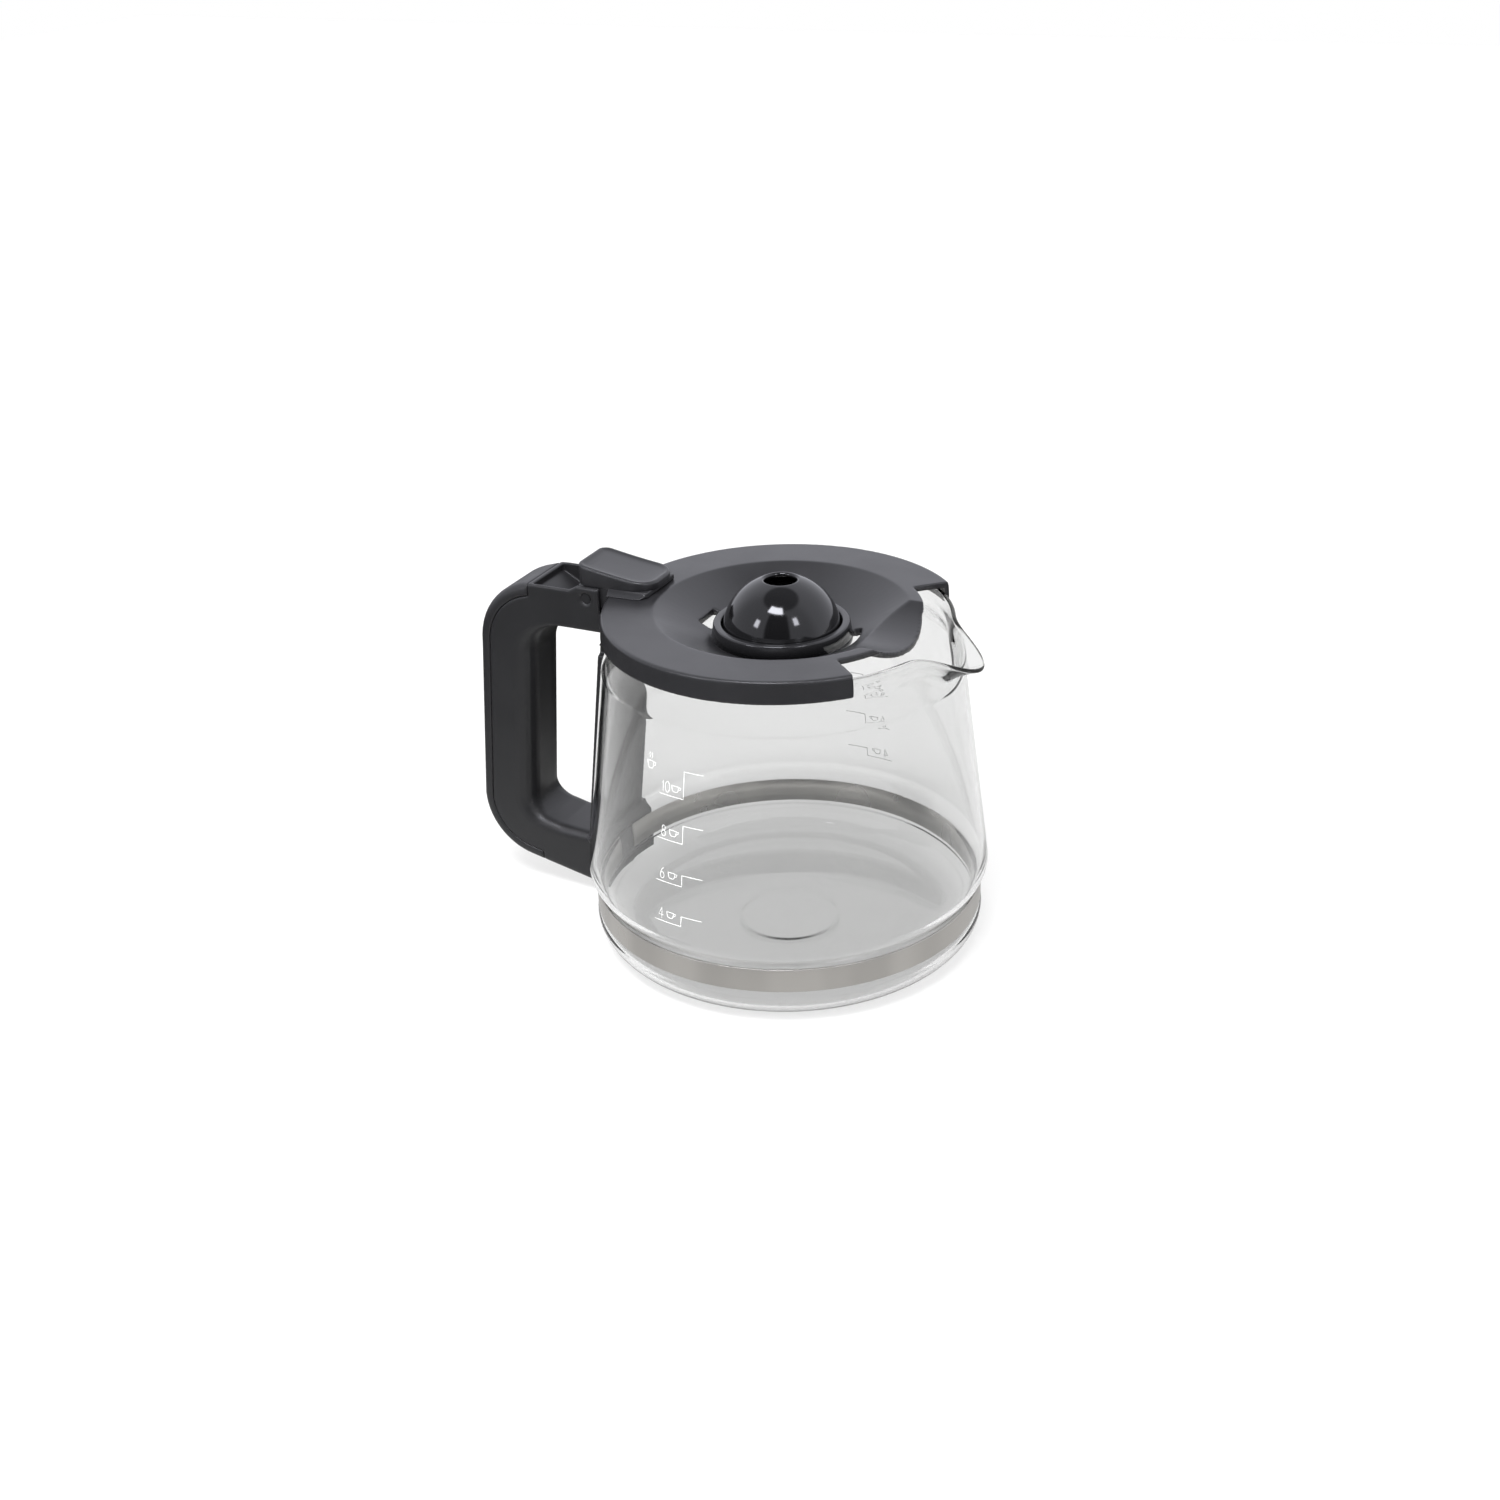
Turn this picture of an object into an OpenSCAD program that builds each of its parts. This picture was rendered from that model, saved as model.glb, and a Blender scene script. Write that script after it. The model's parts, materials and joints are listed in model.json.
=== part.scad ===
// Coffee server carafe: a blown glass jug held by a steel strap, a moulded handle with a
// snap-on back cover, and a hinged pour-through lid with a drip dome.
// The jug stands on z = 0 with its axis on z. The spout points to +x, the handle to -x.

/* [Glass jug] */
// Height of the glass at its rim
jug_h = 122; // [108:0.5:136]
// Outer radius of the glass where the strap lies
foot_r = 69.4; // [66:0.1:71.5]
// Radius of the rounded heel below the strap
heel_r = 11; // [7:0.5:14]
// Widest outer radius, at the shoulder above the strap
shoulder_r = 72.6; // [71:0.1:76]
// Height of the shoulder above the groove of the strap
shoulder_rise = 4.9; // [3.5:0.1:8]
// How far the side stands out from the neck where it turns in
turn_out = 4.4; // [2:0.1:7]
// Height from the start of the turn up to the rim
neck_h = 17.5; // [16.5:0.1:24]
// Height of the turn itself
turn_h = 9; // [7:0.1:9.6]
// Outer radius of the straight neck
neck_r = 58.8; // [53:0.1:64]
// Thickness of the glass
wall = 2.3; // [1.8:0.1:2.6]
// Radius of the bead round the rim
rim_bead_r = 1.3; // [1.3:0.1:1.5]
// How far the rim leans out over the neck
rim_out = 0.8; // [0.4:0.1:1.2]
// Radius of the raised disc in the middle of the floor
floor_disc_r = 16.5; // [10:0.5:24]
// Height of that disc
floor_disc_h = 0.7; // [0.4:0.1:1.5]

/* [Spout] */
// How far the spout tip stands out from the neck
spout_reach = 14.2; // [12:0.1:16]
// How far the spout tip lies below the rim
spout_drop = 7.1; // [5:0.1:8.5]
// Half of the angle over which the neck opens into the spout
spout_half = 26; // [24:1:32]

/* [Steel strap] */
// Width of the strap
strap_w = 8.8; // [7:0.1:10]
// Thickness of the strap
strap_t = 0.6; // [0.4:0.1:0.8]
// Height of the lower edge of the strap above the heel
strap_lift = 2.6; // [1.5:0.1:4]
// Gap between the two ends of the strap, under the anchor block
strap_gap = 10; // [6:0.5:11]
// Width of the threaded anchor block on the strap
anchor_w = 13; // [12:0.5:16]
// Depth of the anchor block
anchor_d = 4.2; // [3.4:0.1:4.6]

/* [Handle] */
// Width of the handle
handle_w = 24.6; // [24:0.1:26]
// Distance from the hinge pin to the back of the handle at the top corner
arm_len = 46.8; // [44:0.1:52]
// How much farther out the back of the handle is at the bottom corner
grip_lean = 5.4; // [3:0.1:7]
// Depth of the grip at the top
grip_top_d = 21.1; // [19:0.1:22]
// Depth of the grip at the bottom
grip_low_d = 21.6; // [19.5:0.1:22.5]
// How far the top of the handle arm lies below the top of the lid
arm_drop = 0.3; // [0.2:0.1:1]
// Depth of the handle arm
arm_d = 15; // [14:0.1:16]
// Outer radius of the top corner
corner_top_r = 26.5; // [25:0.5:28]
// Inner radius of the top corner
corner_in_r = 15; // [12:0.5:17]
// Outer radius of the bottom corner
corner_low_r = 24; // [22:0.5:25]
// Inner radius of the bottom corner
corner_low_in_r = 8; // [6:0.5:9]
// Height of the start of the bottom corner above the strap's lower edge
corner_low_rise = 20.4; // [19.5:0.1:22]
// Height of the start of the inner bottom corner above the strap's lower edge
corner_low_in_rise = 21.6; // [20:0.1:23]
// Slope of the lower arm down to the jug
low_arm_slope = 12; // [11:0.5:13]
// Height of the top of the lower arm above the strap
low_arm_rise = 2.7; // [2:0.1:3.4]
// Thickness of the snap-on back cover
cover_t = 4.5; // [3.5:0.1:5]
// Thickness of the spine plate that lies on the glass
spine_t = 3.4; // [2.8:0.1:3.8]
// Width of the spine plate
spine_w = 32; // [30:0.5:34]
// Width of the spine foot beside the strap
spine_foot_w = 37; // [35:0.5:40]
// Height of the spine foot above the shoulder of the glass
spine_foot_rise = 0.5; // [0.5:0.5:6]

/* [Hinge] */
// Distance from the edge of the lid to the hinge pin
hinge_out = 8.7; // [8.4:0.1:9.4]
// How far the hinge pin lies below the top of the lid
hinge_drop = 2.8; // [2.6:0.1:3.2]
// Radius of the hinge pin
pin_r = 1.8; // [1.4:0.1:2]
// Width of the open channel between the cheeks of the handle
channel_w = 21.6; // [21.4:0.1:22]
// Depth of the floor of that channel below the top of the arm
channel_d = 7.8; // [7.5:0.1:8.1]
// Radius of the lid knuckle round the pin
knuckle_r = 4; // [3.4:0.1:4.2]

/* [Lid] */
// Height of the flat top of the lid above the rim of the glass
lid_rise = 2.6; // [2.5:0.1:3.2]
// How far the lid reaches out over the neck and its rim
lid_over = 2.6; // [2.3:0.1:3.4]
// Height of the skirt of the lid
skirt_h = 8; // [7:0.5:8.5]
// Thickness of the lid wall
lid_t = 2.2; // [1.8:0.1:2.2]
// Width of the flat rim, from the edge to the dish
rim_w = 17.8; // [16:0.1:20]
// Depth of the dish under the flat top
dish_depth = 9.6; // [8:0.1:11]
// Half of the angle of the notch over the spout
notch_half = 43.5; // [40:0.5:46]
// How far the tongue inside the notch reaches beyond the dish
tongue_out = 4.4; // [3:0.1:7]
// Depth of the trough in the tongue
trough_depth = 6; // [4:0.1:6.4]
// Half of the width of the trough at the flat top
trough_half_w = 22; // [18:0.5:24]

/* [Drip dome] */
// Outer radius of the dome
dome_r = 20.7; // [19.6:0.1:21.2]
// Height of the middle of the dome sphere above the dish floor
dome_rise = 0.4; // [0.2:0.1:1.4]
// Radius of the hole in the top of the dome
drip_r = 5.6; // [4.5:0.1:6.5]
// Thickness of the dome
dome_t = 1.8; // [1.4:0.1:2.2]
// Height of the collar round the foot of the dome
collar_h = 5; // [4:0.1:5.6]
// Width of the collar
collar_w = 3.8; // [3:0.1:4.4]

/* [Thumb pad] */
// Width of the thumb pad
pad_w = 20.8; // [19.6:0.1:21]
// How far the pad reaches in over the lid
pad_over = 16.8; // [15:0.1:19]
// How far the pad reaches back beyond the hinge pin
pad_back_out = 4.4; // [4.2:0.1:4.8]
// Height of the top of the pad above the lid at its back
pad_back_rise = 8.6; // [8:0.1:8.8]
// Height of the top of the pad above the lid at its tip
pad_tip_rise = 3.8; // [3.2:0.1:4.4]

/* [Hidden] */

// Shared small sizes
over = 1;              // overrun of every cut
fine = 96;             // facets of large round parts
round_fn = 48;         // facets of small round parts
seat_gap = 0.05;       // between parts that are clamped together
part_gap = 0.3;        // between the lid and what it closes on
glass_gap = 0.2;       // between the glass and the plastic round it
seam_gap = 0.12;       // seam between the handle and its back cover
run_gap = 0.06;        // running clearance round the hinge pin

// Steps of the curves
heel_n = 8;
turn_n = 8;
lean_n = 3;
spout_n = 26;
bead_n = 7;
corner_n = 14;
edge_n = 5;

function mix(a, b, t) = a + (b - a) * t;
function smooth(t) = t * t * (3 - 2 * t);
function arc(cx, cy, r, a0, a1, n) =
    [for (i = [0:n]) [cx + r * cos(mix(a0, a1, i / n)), cy + r * sin(mix(a0, a1, i / n))]];

// Heights of the glass and the strap
strap_z = heel_r + strap_lift;
groove_z = strap_z + strap_w + glass_gap;
shoulder_z = groove_z + shoulder_rise;
turn_z = jug_h - neck_h;
turn_r = neck_r + turn_out;
neck_z = turn_z + turn_h;

// Main places of the lid, the dish, the hinge and the pad
lid_z = jug_h + lid_rise;
lid_r = neck_r + rim_out + lid_over;
dish_r = lid_r - rim_w;
dish_floor_z = lid_z - dish_depth;
dish_floor_r = dome_r + collar_w;
tongue_r = dish_r + tongue_out;
hinge_x = lid_r + hinge_out;
hinge_z = lid_z - hinge_drop;
pad_tip_x = lid_r - pad_over;
pad_back_x = hinge_x + pad_back_out;
pad_back_z = lid_z + pad_back_rise;
pad_tip_z = lid_z + pad_tip_rise;

// Main places of the handle and its spine
grip_top_x = hinge_x + arm_len;
grip_low_x = grip_top_x + grip_lean;
arm_top_z = lid_z - arm_drop;
arm_low_z = arm_top_z - arm_d;
channel_z = arm_top_z - channel_d;
corner_low_z = strap_z + corner_low_rise;
corner_low_in_z = strap_z + corner_low_in_rise;
low_arm_z = strap_z + strap_w + low_arm_rise;
spine_foot_z = shoulder_z + spine_foot_rise;

// Outer radius of the glass at height z, above the heel
function jug_r(z) =
    z < groove_z ? foot_r
    : z < shoulder_z ? mix(foot_r, shoulder_r, smooth((z - groove_z) / (shoulder_z - groove_z)))
    : z < turn_z ? mix(shoulder_r, turn_r, (z - shoulder_z) / (turn_z - shoulder_z))
    : z < neck_z ? mix(turn_r, neck_r, smooth((z - turn_z) / (neck_z - turn_z)))
    : z < lean_z ? neck_r
    : neck_r + rim_out * smooth(min(1, (z - lean_z) / (rim_z - lean_z)));

// Heights at which the side of the glass is drawn
rim_z = jug_h - rim_bead_r;
lean_z = rim_z - 2 * wall;
neck_zs = concat([for (i = [0:turn_n]) mix(turn_z, neck_z, i / turn_n)],
                 [for (i = [0:lean_n]) mix(lean_z, rim_z, i / lean_n)]);
side_zs = concat([for (i = [0:turn_n]) mix(groove_z, shoulder_z, i / turn_n)], neck_zs);

// Inward normal of the glass side at height z
dz = wall / 20;
function inward(z) =
    let (slope = (jug_r(z + dz) - jug_r(z - dz)) / (2 * dz), len = sqrt(1 + slope * slope))
    [-1 / len, slope / len];

glass_outer = concat([[0, 0]], arc(foot_r - heel_r, heel_r, heel_r, -90, 0, heel_n),
                     [for (z = side_zs) [jug_r(z), z]]);
glass_inner = concat([for (i = [len(side_zs) - 1:-1:0])
                          [jug_r(side_zs[i]), side_zs[i]] + wall * inward(side_zs[i])],
                     arc(foot_r - heel_r, heel_r, heel_r - wall, 0, -90, heel_n),
                     [[floor_disc_r + floor_disc_h, wall],
                      [floor_disc_r, wall + floor_disc_h],
                      [0, wall + floor_disc_h]]);

// Spout: the neck wall opens along a cosine and curls outward to the tip
spout_z = turn_z - wall;
spout_sink = 0.12;     // how deep the edges of the spout lie in the neck wall
spout_wall = wall - 2 * spout_sink;
spout_shape = 1.7;     // how quickly the spout narrows towards its tip
spout_curl = 2.1;      // how late the spout turns outward
function spout_open(a) = pow(pow(cos(90 * a / spout_half), 2), spout_shape);
function spout_at(a, s) =
    let (g = spout_open(a))
    [jug_r(mix(spout_z, rim_z, s)) - spout_sink + spout_reach * g * pow(s, spout_curl),
     mix(spout_z, rim_z - spout_drop * g, s)];
ds = 0.01;
function spout_along(a, s) =
    let (t = spout_at(a, min(s + ds, 1)) - spout_at(a, max(s - ds, 0))) t / norm(t);
function spout_point(a, s, in, up) =
    let (t = spout_along(a, s)) spout_at(a, s) + in * [-t[1], t[0]] + up * t;
function spin(p, a) = [p[0] * cos(a), p[0] * sin(a), p[1]];
spout_as = [for (i = [0:spout_n]) mix(-spout_half, spout_half, i / spout_n)];
spout_ss = [for (z = concat([spout_z], neck_zs)) (z - spout_z) / (rim_z - spout_z)];
spout_m = len(spout_ss) - 1;

// Section of the spout at angle a: up the outside, over the bead, down the inside
spout_bead_r = rim_bead_r - spout_sink;
bead_angle = 25;       // where the bead leaves the wall
bead_turns = [for (i = [0:bead_n]) mix(-bead_angle, 180 + bead_angle, i / bead_n)];
function spout_ring(a) = concat(
    [for (j = [0:spout_m - 1]) spin(spout_point(a, spout_ss[j], 0, 0), a)],
    [for (b = bead_turns) spin(spout_point(a, 1, spout_wall / 2 - spout_bead_r * cos(b),
                                           spout_bead_r * sin(b)), a)],
    [for (j = [spout_m - 1:-1:0]) spin(spout_point(a, spout_ss[j], spout_wall, 0), a)]);

// Faces of a lofted solid: rings of m points (m even), capped at both ends by strips
function loft_faces(rings, m) = concat(
    [for (i = [0:rings - 2], j = [0:m - 1])
        [i * m + j, i * m + (j + 1) % m, (i + 1) * m + (j + 1) % m]],
    [for (i = [0:rings - 2], j = [0:m - 1])
        [i * m + j, (i + 1) * m + (j + 1) % m, (i + 1) * m + j]],
    [for (j = [0:m / 2 - 2]) [m - 1 - j, m - 2 - j, j + 1, j]],
    [for (j = [0:m / 2 - 2]) (rings - 1) * m * [1, 1, 1, 1] + [j, j + 1, m - 2 - j, m - 1 - j]]);

module glass_jug() color("aliceblue", 0.45) {
    difference() {
        rotate_extrude($fn = fine) {
            polygon(concat(glass_outer, glass_inner));
            translate([neck_r + rim_out - wall / 2, rim_z]) circle(r = rim_bead_r, $fn = round_fn);
        }
        // The neck is cut away where the spout stands
        translate([0, 0, spout_z + spout_lap]) linear_extrude(jug_h)
            polygon([[0, 0],
                     for (a = [-1, -0.5, 0, 0.5, 1]) spout_clear_r
                         * [cos(a * spout_cut_half), sin(a * spout_cut_half)]]);
    }
    polyhedron(points = [for (a = spout_as) each spout_ring(a)],
               faces = loft_faces(spout_n + 1, 2 * spout_m + bead_n + 1), convexity = 6);
}
spout_lap = 0.6;       // how far the spout reaches in to the wall below it
spout_cut_half = spout_half - 2;
spout_clear_r = shoulder_r + spout_reach;

// Steel strap in the groove of the glass
strap_in_r = foot_r + seat_gap;
strap_out_r = strap_in_r + strap_t;
strap_mid_z = strap_z + strap_w / 2;
module base_band() color("silver")
    translate([0, 0, strap_z]) difference() {
        cylinder(r = strap_out_r, h = strap_w, $fn = fine);
        translate([0, 0, -over]) cylinder(r = strap_in_r, h = strap_w + 2 * over, $fn = fine);
        translate([-2 * foot_r, -strap_gap / 2, -over]) cube([2 * foot_r, strap_gap, strap_w + 2 * over]);
    }

// Threaded block on the outside of the strap, behind the spine foot
screw_r = 1.6;
screw_head_r = 3;
screw_head_h = 2.4;
slot_w = 0.9;
slot_d = 1;
anchor_x = strap_out_r + seat_gap + anchor_d;
clamp_drop = 1;
clamp_z = strap_mid_z - clamp_drop;
module band_anchor() color("gray") difference() {
    translate([-anchor_x, -anchor_w / 2, strap_z]) cube([anchor_d * 2, anchor_w, strap_w]);
    translate([0, 0, strap_z - over])
        cylinder(r = strap_out_r + seat_gap, h = strap_w + 2 * over, $fn = fine);
    along_x(-anchor_x - over, clamp_z) cylinder(r = screw_r, h = anchor_d * 3, $fn = round_fn);
}

// Place children with z pointing to +x, from the given x and height
module along_x(x, z) translate([x, 0, z]) rotate([0, 90, 0]) children();

// Slotted machine screw: the head starts at 0 and the shank runs to len
module screw(len, r, head_r, head_h) difference() {
    union() {
        cylinder(r = head_r, h = head_h, $fn = round_fn);
        cylinder(r = r, h = len, $fn = round_fn);
    }
    translate([-head_r, -slot_w / 2, -over]) cube([2 * head_r, slot_w, slot_d + over]);
}

clamp_head_out = 23;
clamp_head_x = strap_out_r + clamp_head_out;
clamp_len = clamp_head_x - strap_out_r - glass_gap;
module clamp_screw() color("dimgray")
    along_x(-clamp_head_x, clamp_z) screw(clamp_len, screw_r, screw_head_r, screw_head_h);

neck_screw_r = 1.3;
neck_head_r = 2.5;
neck_head_h = 2;
neck_head_out = 29.1;
neck_head_x = hinge_x + neck_head_out;
neck_screw_z = (arm_low_z + channel_z) / 2;
neck_screw_len = neck_head_x - neck_r - glass_gap - spine_t / 2 - (jug_r(neck_screw_z) - neck_r);
module neck_screw() color("dimgray")
    along_x(-neck_head_x, neck_screw_z)
        screw(neck_screw_len, neck_screw_r, neck_head_r, neck_head_h);

// Spine plate: a strip of the shape of the glass, with a wide foot over the strap
spine_low_z = heel_r - spine_t;
spine_top_z = channel_z;
spine_in_foot_r = strap_out_r + glass_gap;
function spine_in(z) = max(z < shoulder_z ? spine_in_foot_r : 0, jug_r(z) + glass_gap);
spine_zs = concat([spine_low_z, groove_z], [for (i = [1:turn_n]) mix(groove_z, shoulder_z, i / turn_n)],
                  [for (i = [0:turn_n]) mix(turn_z, neck_z, i / turn_n)], [spine_top_z]);
hook_w = 33;
hook_rise = 2;
hook_z = turn_z + hook_rise;
waist_w = 27;
waist_h = 4;
module spine_ring() rotate_extrude($fn = fine)
    polygon(concat([for (z = spine_zs) [spine_in(z), z]],
                   [for (i = [len(spine_zs) - 1:-1:0])
                       [spine_in(spine_zs[i]) + spine_t, spine_zs[i]]]));
module spine_strip(w, z0, z1)
    translate([-2 * shoulder_r, -w / 2, z0]) cube([2 * shoulder_r, w, z1 - z0]);
// Window for the anchor block through the spine and in to the handle
module anchor_pocket()
    translate([-anchor_x - part_gap, -anchor_w / 2 - glass_gap, strap_z - glass_gap])
        cube([anchor_d + spine_t, anchor_w + 2 * glass_gap, strap_w + 2 * glass_gap]);
module handle_spine() color("#2c2d30") difference() {
    intersection() {
        spine_ring();
        union() {
            spine_strip(waist_w, 0, jug_h);
            spine_strip(spine_w, 0, hook_z - waist_h);
            spine_strip(spine_foot_w, 0, spine_foot_z);
            spine_strip(hook_w, hook_z, jug_h);
        }
    }
    anchor_pocket();
    along_x(-neck_head_x, neck_screw_z)
        cylinder(r = neck_screw_r, h = neck_screw_len, $fn = round_fn);
}

// Side outline of the handle, as pairs of an inner and an outer point [x, z]
ear_rise = 1.4;
ear_top_z = lid_z + ear_rise;
ear_front = 5.5;
ear_back = 3.6;
ear_front_x = hinge_x - ear_front;
ear_back_x = hinge_x + ear_back;
ear_step = 2.9;
arm_end_x = neck_r;
corner_top = [-(grip_top_x - corner_top_r), arm_top_z - corner_top_r];
corner_in = [-(grip_top_x - grip_top_d - corner_in_r), arm_low_z - corner_in_r];
corner_low = [-(grip_low_x - corner_low_r), corner_low_z];
corner_low_in = [-(grip_low_x - grip_low_d - corner_low_in_r), corner_low_in_z];
low_end_x = strap_out_r;
low_bend_out = 20;
low_bend_x = strap_out_r + low_bend_out;
low_bend_rise = 1;
low_bend_z = low_arm_z + low_bend_rise;
function down_slope(p, x) = [x, p[1] - (x - p[0]) * tan(low_arm_slope)];

inner_arc_low = arc(corner_low_in[0], corner_low_in[1], corner_low_in_r, 180, 270 - low_arm_slope, corner_n);
outer_arc_low = arc(corner_low[0], corner_low[1], corner_low_r, 180, 270 - low_arm_slope, corner_n);
inner_line = concat(
    [[-arm_end_x, arm_low_z], [-ear_back_x, arm_low_z], [-ear_back_x - ear_step, arm_low_z],
     [corner_in[0] + over, arm_low_z]],
    arc(corner_in[0], corner_in[1], corner_in_r, 90, 180, corner_n),
    inner_arc_low,
    [[-low_bend_x, low_bend_z], [-low_end_x, low_arm_z]]);
outer_line = concat(
    [[-arm_end_x, ear_top_z], [-ear_back_x, ear_top_z], [-ear_back_x - ear_step, arm_top_z],
     [corner_top[0] + over, arm_top_z]],
    arc(corner_top[0], corner_top[1], corner_top_r, 90, 180, corner_n),
    outer_arc_low,
    [down_slope(outer_arc_low[corner_n], -low_bend_x), down_slope(outer_arc_low[corner_n], -low_end_x)]);

// Edge rounding along the handle, shared out from the arm over the grip to the foot
grip_round = 7;
arm_round = 1.2;
foot_round = 3.5;
back_round = 3.2;
top_round = 0.8;
stations = len(inner_line);
arm_stations = 4;
function inner_round(i) =
    i < arm_stations ? arm_round
    : i < arm_stations + corner_n ? mix(arm_round, grip_round, smooth((i - arm_stations) / corner_n))
    : mix(grip_round, foot_round, smooth((i - arm_stations - corner_n) / (stations - arm_stations - corner_n)));
seam_stations = arm_stations + 2;
function outer_round(i) = i < seam_stations ? top_round : back_round;

// Cross-section of the handle at station i: a rectangle with rounded corners
function half_section(i) =
    let (d = norm(outer_line[i] - inner_line[i]), w = handle_w / 2, ri = inner_round(i), ro = outer_round(i))
    concat(arc(ri, w - ri, ri, 180, 90, edge_n), arc(d - ro, w - ro, ro, 90, 0, edge_n));
function station_ring(i) =
    let (p = inner_line[i], q = outer_line[i], n = (q - p) / norm(q - p), h = half_section(i), m = len(h))
    concat([for (k = [0:m - 1]) [p[0] + n[0] * h[k][0], h[k][1], p[1] + n[1] * h[k][0]]],
           [for (k = [m - 1:-1:0]) [p[0] + n[0] * h[k][0], -h[k][1], p[1] + n[1] * h[k][0]]]);
module handle_solid()
    polyhedron(points = [for (i = [0:stations - 1]) each station_ring(i)],
               faces = loft_faces(stations, 4 * (edge_n + 1)), convexity = 6);

// Region outside the seam of the back cover, in the side view
cover_top_out = 22.8;
cover_top_x = cover_top_out - grip_top_x;
cover_low_out = 8;
cover_low_x = low_bend_x + cover_low_out;
clear_x = grip_low_x + grip_low_d;
function cover_start(gap) = acos((cover_top_x + gap - corner_top[0]) / (corner_top_r - cover_t - gap));
module cover_region(gap) rotate([90, 0, 0]) linear_extrude(2 * handle_w, center = true)
    polygon(concat(
        [[cover_top_x + gap, arm_top_z + spine_t]],
        arc(corner_top[0], corner_top[1], corner_top_r - cover_t - gap, cover_start(gap), 180, corner_n),
        arc(corner_low[0], corner_low[1], corner_low_r - cover_t - gap, 180, 270 - low_arm_slope, corner_n),
        [down_slope(outer_arc_low[corner_n], -cover_low_x + gap) + [0, cover_t + gap],
         [-cover_low_x + gap, -heel_r], [-clear_x, -heel_r], [-clear_x, arm_top_z + spine_t]]));

channel_slope = 4.8;
channel_end_t = 1.9;
channel_ramp = 8.6;
channel_back_x = -cover_top_x - channel_end_t;
channel_low_x = channel_back_x - channel_ramp;
head_play = 0.3;
module handle_body() color("#3a3b3e") difference() {
    handle_solid();
    cover_region(seam_gap);
    // Seat on the spine, and room for the lid in front of the ears
    rotate_extrude($fn = fine)
        polygon(concat([[0, -over]], [for (z = spine_zs) [spine_in(z) + spine_t + seat_gap, z]],
                       [[0, spine_top_z]]));
    rotate_extrude($fn = fine)
        polygon([[0, -over], [spine_in(spine_low_z) + spine_t + seat_gap, -over],
                 [spine_in(spine_low_z) + spine_t + seat_gap, groove_z], [0, groove_z]]);
    translate([-ear_front_x, -handle_w, channel_z])
        cube([ear_front_x, 2 * handle_w, jug_h]);
    anchor_pocket();
    // Channel between the cheeks, with a floor that rises to the back
    rotate([90, 0, 0]) linear_extrude(channel_w, center = true)
        polygon([[-ear_front_x + over, channel_z], [-ear_front_x + over, jug_h + skirt_h],
                 [-channel_back_x, jug_h + skirt_h], [-channel_back_x, channel_z + channel_slope],
                 [-channel_low_x, channel_z]]);
    // Press-fitted hinge pin, in a shallow recess at each end
    translate([-hinge_x, 0, hinge_z]) rotate([90, 0, 0]) {
        cylinder(r = pin_r, h = 2 * handle_w, center = true, $fn = round_fn);
        for (side = [-1, 1]) translate([0, 0, side * handle_w / 2])
            cylinder(r = recess_r, h = 2 * recess_d, center = true, $fn = round_fn);
    }
    // Screw bores, open to the back under the cover
    along_x(-clear_x, clamp_z) {
        cylinder(r = screw_r + head_play, h = clear_x - strap_out_r, $fn = round_fn);
        cylinder(r = screw_head_r + head_play, h = clear_x - clamp_head_x + screw_head_h, $fn = round_fn);
    }
    along_x(-clear_x, neck_screw_z) {
        cylinder(r = neck_screw_r + head_play / 2, h = clear_x - neck_r, $fn = round_fn);
        cylinder(r = neck_head_r + head_play, h = clear_x - neck_head_x + neck_head_h, $fn = round_fn);
    }
}
recess_r = 2.6;
recess_d = 0.5;

module handle_back_cover() color("#313235") intersection() {
    handle_solid();
    cover_region(0);
}

pin_len = handle_w - 2 * recess_d;
module hinge_pin() color("dimgray")
    translate([-hinge_x, 0, hinge_z]) rotate([90, 0, 0])
        cylinder(r = pin_r, h = pin_len, center = true, $fn = round_fn);

// Lid: flat rim, skirt and conical dish with a drain floor
skirt_flare = 0.5;
skirt_t = 1.5;
drain_r = 9;
sleeve_t = 1.6;
sleeve_h = 6;
trough_r = (trough_half_w * trough_half_w + trough_depth * trough_depth) / (2 * trough_depth);
trough_z = lid_z - trough_depth + trough_r;
left_slot_half_w = 6;
left_slot_w = 5;
left_slot_x = dish_floor_r + left_slot_w;
right_slot_half_w = 11;
right_slot_w = 3;
right_slot_r = dish_floor_r + right_slot_w;
lid_edge = 0.6;
module lid_profile() polygon([
    [drain_r, dish_floor_z],
    [dish_floor_r, dish_floor_z],
    [dish_r, lid_z],
    [lid_r - lid_edge, lid_z],
    [lid_r, lid_z - lid_edge],
    [lid_r + skirt_flare, lid_z - skirt_h],
    [lid_r + skirt_flare - skirt_t, lid_z - skirt_h],
    [lid_r - skirt_t, lid_z - lid_t],
    [dish_r + lid_t / 2, lid_z - lid_t],
    [dish_floor_r + lid_t / 2, dish_floor_z - lid_t],
    [drain_r + sleeve_t, dish_floor_z - lid_t],
    [drain_r + sleeve_t, dish_floor_z - sleeve_h],
    [drain_r, dish_floor_z - sleeve_h]]);

module trough(grow) translate([dish_floor_r, 0, trough_z]) rotate([0, 90, 0])
    cylinder(r = trough_r + grow, h = lid_r, $fn = fine);

module notch_sector(r0) difference() {
    translate([0, 0, dish_floor_z]) linear_extrude(jug_h)
        polygon([[0, 0], for (a = [-1, -0.5, 0, 0.5, 1])
            2 * lid_r * [cos(a * notch_half), sin(a * notch_half)]]);
    translate([0, 0, -over]) cylinder(r = r0, h = 2 * jug_h, $fn = fine);
}

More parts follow.
